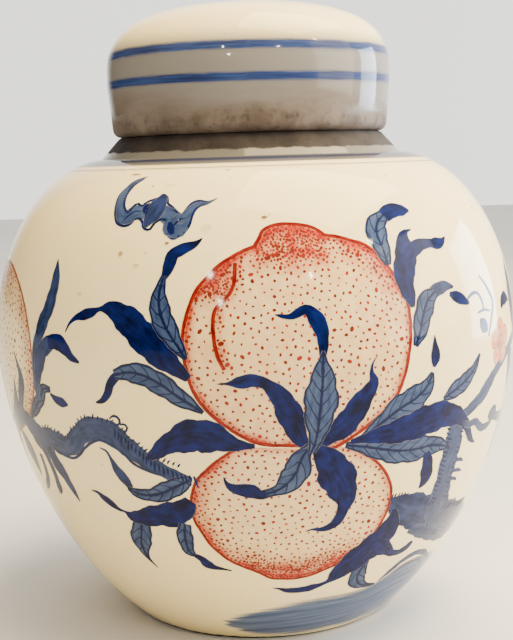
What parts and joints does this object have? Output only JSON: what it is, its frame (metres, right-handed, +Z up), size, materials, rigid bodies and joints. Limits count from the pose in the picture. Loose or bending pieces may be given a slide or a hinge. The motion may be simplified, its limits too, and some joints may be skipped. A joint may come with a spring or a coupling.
{
  "type": "ginger jar",
  "caption": "Lidded porcelain ginger jar: round full belly on a foot ring, bare clay collar, and a domed cap lid that lifts off; blue and iron-red peach painting.",
  "frame": {"origin": "centre of the foot ring's underside, on the surface that the jar stands on", "axes": "+Z up along the axis of the jar and lid; -Y faces the middle of the painted front, +X to its right"},
  "size_m": [0.19, 0.19, 0.2194],
  "materials": {
    "jar_glaze": "clear glossy glaze over warm white porcelain, bare clay at collar and foot",
    "lid_glaze": "clear glossy glaze over greyish porcelain, bare clay at the lower edge",
    "cobalt_blue": "cobalt brushwork under the glaze",
    "iron_red": "iron-red enamel lines and dots over the glaze",
    "bare_clay": "unglazed fired clay, matt"
  },
  "bodies": {
    "jar": {"jar": "jar_glaze"},
    "lid": {"lid": "lid_glaze"}
  },
  "joints": [
    {"name": "lid_lift", "type": "slide", "parent": "jar", "child": "lid", "axis": [0, 0, 1], "range_m": [0, 0.08]}
  ]
}
